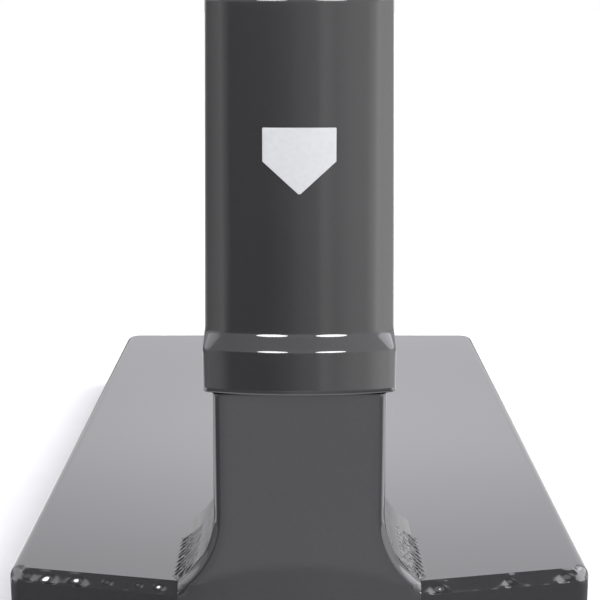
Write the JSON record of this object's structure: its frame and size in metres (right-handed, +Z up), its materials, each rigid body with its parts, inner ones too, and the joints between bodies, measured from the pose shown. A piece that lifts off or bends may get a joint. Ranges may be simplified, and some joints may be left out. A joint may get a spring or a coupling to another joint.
{
  "type": "batting tee",
  "caption": "Heavy steel batting tee: flat base with a front neck, a square lift-off post in a collared sleeve, telescoping tubes with clamps and a flexible rubber ball rest.",
  "frame": {"origin": "on the floor under the feet, at the middle of the whole object's box", "axes": "+Z up, -Y towards the front where the neck stands, +X to the right seen from the front"},
  "size_m": [0.282, 0.514, 0.8],
  "materials": {
    "gunmetal_paint": "gloss clear-coated dark gunmetal paint",
    "black_coating": "matte black powder coat",
    "zinc_steel": "zinc-plated satin steel",
    "foot_rubber": "moulded rubber",
    "rest_rubber": "soft moulded rubber with fine ribs",
    "black_plastic": "textured glass-filled nylon",
    "grey_nylon": "natural grey nylon",
    "black_alloy": "black anodised satin aluminium",
    "anodised_tube": "satin anodised aluminium",
    "brushed_tube": "brushed stainless steel",
    "badge_grey": "light grey printed badge"
  },
  "bodies": {
    "base": {"base_shell": "gunmetal_paint", "neck": "gunmetal_paint", "weld_beads": "gunmetal_paint", "stiffening_ribs": "black_coating", "ballast_plate": "black_coating", "ballast_bolts": "zinc_steel", "cover_bosses": "black_coating", "bottom_cover": "black_coating", "cover_screws": "zinc_steel", "foot_front_left": "foot_rubber", "foot_front_right": "foot_rubber", "foot_rear_left": "foot_rubber", "foot_rear_right": "foot_rubber", "foot_screws": "zinc_steel", "foot_nuts": "zinc_steel"},
    "post": {"lower_sleeve": "gunmetal_paint", "collar_bush": "black_plastic", "front_badge": "badge_grey", "mast_tube": "gunmetal_paint", "lock_boss": "gunmetal_paint", "mast_head": "black_alloy", "head_screws": "zinc_steel", "guide_bush": "black_plastic", "clamp_ring": "black_alloy", "clamp_bolt": "zinc_steel", "clamp_nut": "zinc_steel", "cam_plate": "zinc_steel", "lever_pin": "zinc_steel"},
    "lock_carrier": {"lock_washer": "zinc_steel"},
    "lock_knob": {"lock_knob": "black_plastic", "lock_stud": "zinc_steel"},
    "clamp_lever": {"clamp_lever": "black_plastic"},
    "stage1": {"stage1_tube": "anodised_tube", "stage1_glide": "black_plastic", "stage1_ferrule": "black_alloy"},
    "collet": {"collet": "grey_nylon"},
    "twist_nut": {"twist_nut": "black_plastic"},
    "stage2": {"stage2_tube": "brushed_tube", "stage2_glide": "black_plastic", "rest_ferrule": "black_alloy"},
    "flex_link": {"flex_link": "rest_rubber"},
    "ball_rest": {"ball_rest": "rest_rubber"}
  },
  "joints": [
    {"name": "post_lift", "type": "slide", "parent": "base", "child": "post", "axis": [0, 0, 1], "range_m": [0, 0.14]},
    {"name": "lock_travel", "type": "slide", "parent": "post", "child": "lock_carrier", "axis": [0, 1, 0], "range_m": [0, 0.003]},
    {"name": "lock_turn", "type": "hinge", "parent": "lock_carrier", "child": "lock_knob", "pos_m": [0, -0.158, 0.2], "axis": [0, 1, 0], "range_deg": [0, 720]},
    {"name": "clamp_lever_swing", "type": "hinge", "parent": "post", "child": "clamp_lever", "pos_m": [0.044, -0.1898, 0.453], "axis": [0, 0, -1], "range_deg": [0, 130]},
    {"name": "stage1_height", "type": "slide", "parent": "post", "child": "stage1", "axis": [0, 0, 1], "range_m": [-0.08, 0.12]},
    {"name": "collet_travel", "type": "slide", "parent": "stage1", "child": "collet", "axis": [0, 0, 1], "range_m": [0, 0.001]},
    {"name": "twist_nut_turn", "type": "hinge", "parent": "collet", "child": "twist_nut", "pos_m": [0, -0.2118, 0.58], "axis": [0, 0, 1], "range_deg": [0, 180]},
    {"name": "stage2_height", "type": "slide", "parent": "stage1", "child": "stage2", "axis": [0, 0, 1], "range_m": [-0.06, 0.14]},
    {"name": "rest_tilt_forward", "type": "hinge", "parent": "stage2", "child": "flex_link", "pos_m": [0, -0.2118, 0.71], "axis": [1, 0, 0], "range_deg": [-15, 15], "stiffness_Nm_per_rad": 4},
    {"name": "rest_tilt_side", "type": "hinge", "parent": "flex_link", "child": "ball_rest", "pos_m": [0, -0.2118, 0.738], "axis": [0, 1, 0], "range_deg": [-15, 15], "stiffness_Nm_per_rad": 3}
  ],
  "couplings": [
    {"joint": "lock_travel", "follows": "lock_turn", "m_per_rad": 0.00023873},
    {"joint": "collet_travel", "follows": "twist_nut_turn", "m_per_rad": 0.00031831}
  ]
}
